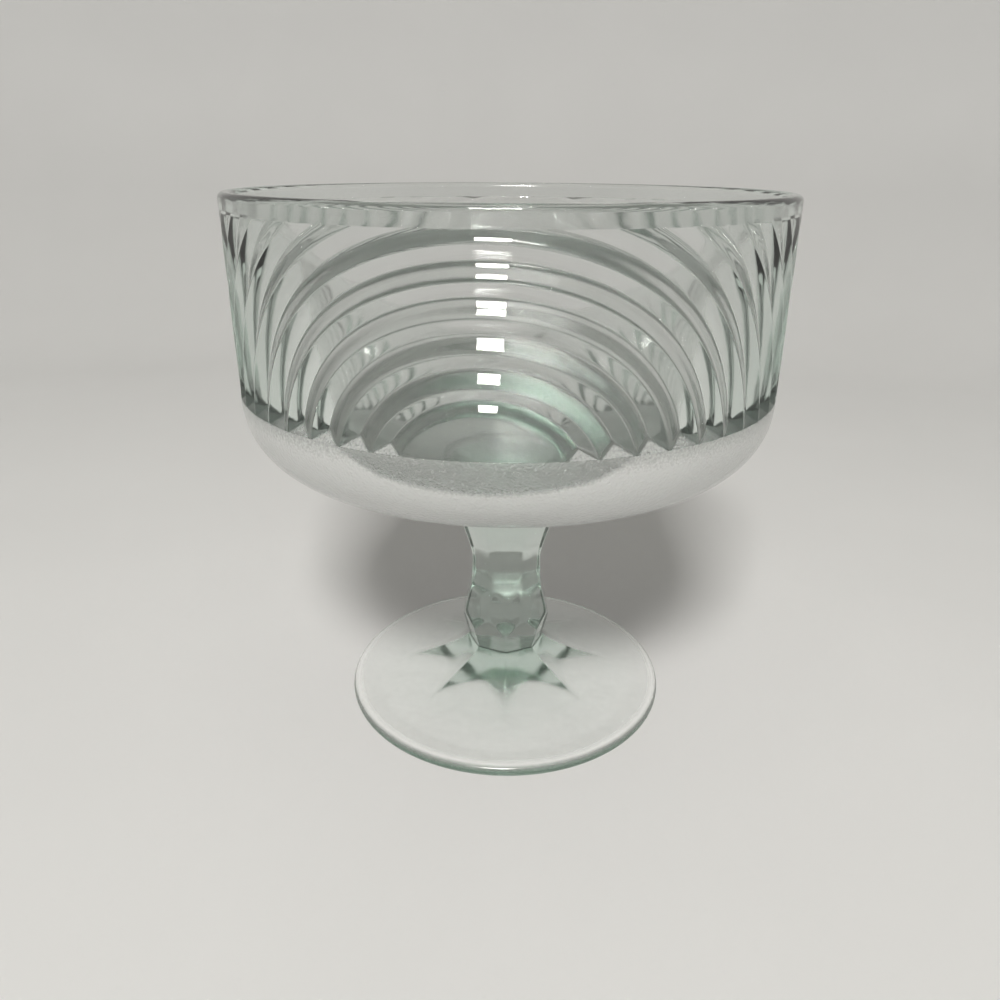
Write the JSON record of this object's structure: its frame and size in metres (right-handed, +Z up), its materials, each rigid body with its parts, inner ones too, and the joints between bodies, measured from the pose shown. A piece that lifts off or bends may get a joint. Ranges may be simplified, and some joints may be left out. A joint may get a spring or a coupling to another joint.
{
  "type": "compote bowl",
  "caption": "Footed compote bowl of clear pressed glass: straight wall with arched ribs, frosted rounded base, faceted stem with a knop, and a round foot with a star of ridges.",
  "frame": {"origin": "middle of the foot's underside, on the surface that the bowl stands on", "axes": "+Z up along the stem to the bowl's mouth; -Y towards the middle of the front panel of arched ribs"},
  "size_m": [0.112, 0.112, 0.1158],
  "materials": {
    "bowl_glass": "clear pressed glass, fire-polished, with a stippled frosted underside",
    "stem_glass": "clear pressed glass, fire-polished, green in its thickness",
    "foot_glass": "clear pressed glass with a faintly rippled upper face"
  },
  "bodies": {
    "root": {"bowl": "bowl_glass", "wafer": "stem_glass", "stem": "stem_glass", "foot": "foot_glass"}
  },
  "joints": []
}
